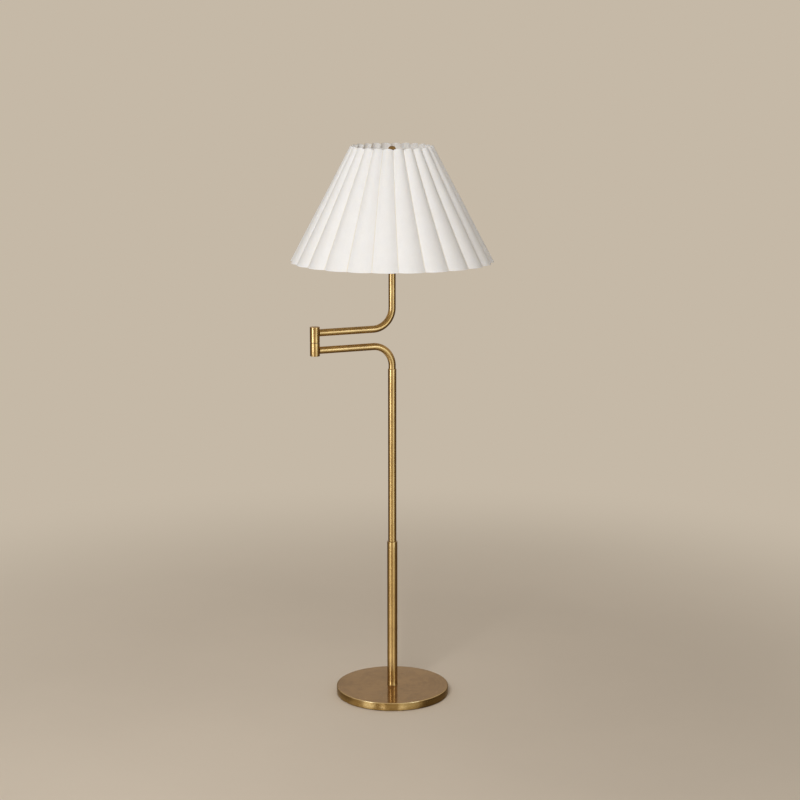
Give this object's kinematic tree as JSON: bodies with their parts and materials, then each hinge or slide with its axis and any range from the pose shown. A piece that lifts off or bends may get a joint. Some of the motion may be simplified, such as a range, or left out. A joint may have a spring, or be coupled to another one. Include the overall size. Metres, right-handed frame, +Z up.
{
  "type": "bridge floor lamp",
  "caption": "Floor lamp with a weighted round base, a telescoping brass stem, folding swing arms and a scalloped cone shade on a harp.",
  "frame": {"origin": "centre of the round base on the floor", "axes": "+Z up along the stem; at rest both swing arms point along -X; the switch's knob points along -Y and the cord inlet along +Y"},
  "size_m": [0.4912, 0.4912, 1.3666],
  "materials": {
    "base_brass": "satin",
    "tube_brass": "satin",
    "head_brass": "satin",
    "turned_brass": "satin",
    "iron": "matte",
    "felt": "matte",
    "black_nylon": "matte",
    "white_nylon": "matte",
    "block_plastic": "satin",
    "lead_jacket": "satin",
    "zinc_steel": "satin",
    "spring_steel": "satin",
    "liner_board": "matte",
    "phenolic": "satin",
    "nickel": "satin",
    "bulb_base_black": "gloss",
    "frosted_glass": "satin",
    "white_wire": "satin",
    "shade_paper": "matte"
  },
  "bodies": {
    "base": {"base_cover": "base_brass", "base_weight": "iron", "base_felt": "felt", "cord_gland": "black_nylon", "terminal_block": "block_plastic", "base_lead": "lead_jacket", "base_nipple": "zinc_steel", "base_washer": "zinc_steel", "base_lock_washer": "spring_steel", "base_nut": "zinc_steel", "stem_plug": "turned_brass", "lower_tube": "tube_brass", "slide_bush": "white_nylon", "slack_lead": "lead_jacket"},
    "stem": {"slide_guide": "white_nylon", "friction_ring": "spring_steel", "mid_tube": "tube_brass", "swivel_bush": "turned_brass", "thrust_washer": "white_nylon", "stem_lead": "lead_jacket"},
    "lower_arm": {"arm_spigot": "turned_brass", "wave_washer": "spring_steel", "retaining_ring": "spring_steel", "lower_arm_tube": "tube_brass", "lower_knuckle": "tube_brass", "lower_knuckle_cap": "tube_brass", "elbow_pivot": "zinc_steel", "elbow_washer": "black_nylon", "elbow_spring": "spring_steel", "elbow_nut": "zinc_steel", "lower_arm_lead": "lead_jacket"},
    "upper_arm": {"upper_knuckle": "tube_brass", "upper_knuckle_cap": "tube_brass", "upper_arm_tube": "tube_brass", "upper_arm_lead": "lead_jacket", "riser_plug": "turned_brass", "riser_ring": "tube_brass", "head_nipple": "zinc_steel", "harp_saddle": "head_brass", "harp_ferrules": "head_brass", "harp": "head_brass", "socket_cap": "head_brass", "socket_shell": "head_brass", "socket_liner": "liner_board", "socket_body": "phenolic", "screw_shell": "nickel", "centre_contact": "head_brass", "bulb_contact": "bulb_base_black", "bulb_cap": "nickel", "bulb_glass": "frosted_glass", "shade_fitter": "white_wire", "shade_lower_wire": "white_wire", "shade_paper": "shade_paper", "finial": "head_brass"},
    "knob": {"switch_shaft": "head_brass", "switch_knob": "phenolic"}
  },
  "joints": [
    {"name": "height_slide", "type": "slide", "parent": "base", "child": "stem", "axis": [0, 0, 1], "range_m": [-0.2, 0.045], "deforming": ["slack_lead"]},
    {"name": "stem_swivel", "type": "hinge", "parent": "stem", "child": "lower_arm", "pos_m": [0, 0, 0.816], "axis": [0, 0, 1], "range_deg": [-170, 170]},
    {"name": "elbow_swivel", "type": "hinge", "parent": "lower_arm", "child": "upper_arm", "pos_m": [-0.201, 0, 0.9045], "axis": [0, 0, 1], "range_deg": [-170, 170]},
    {"name": "switch_turn", "type": "hinge", "parent": "upper_arm", "child": "knob", "pos_m": [0, -0.0246, 1.17406], "axis": [0, -1, 0], "continuous": true}
  ]
}
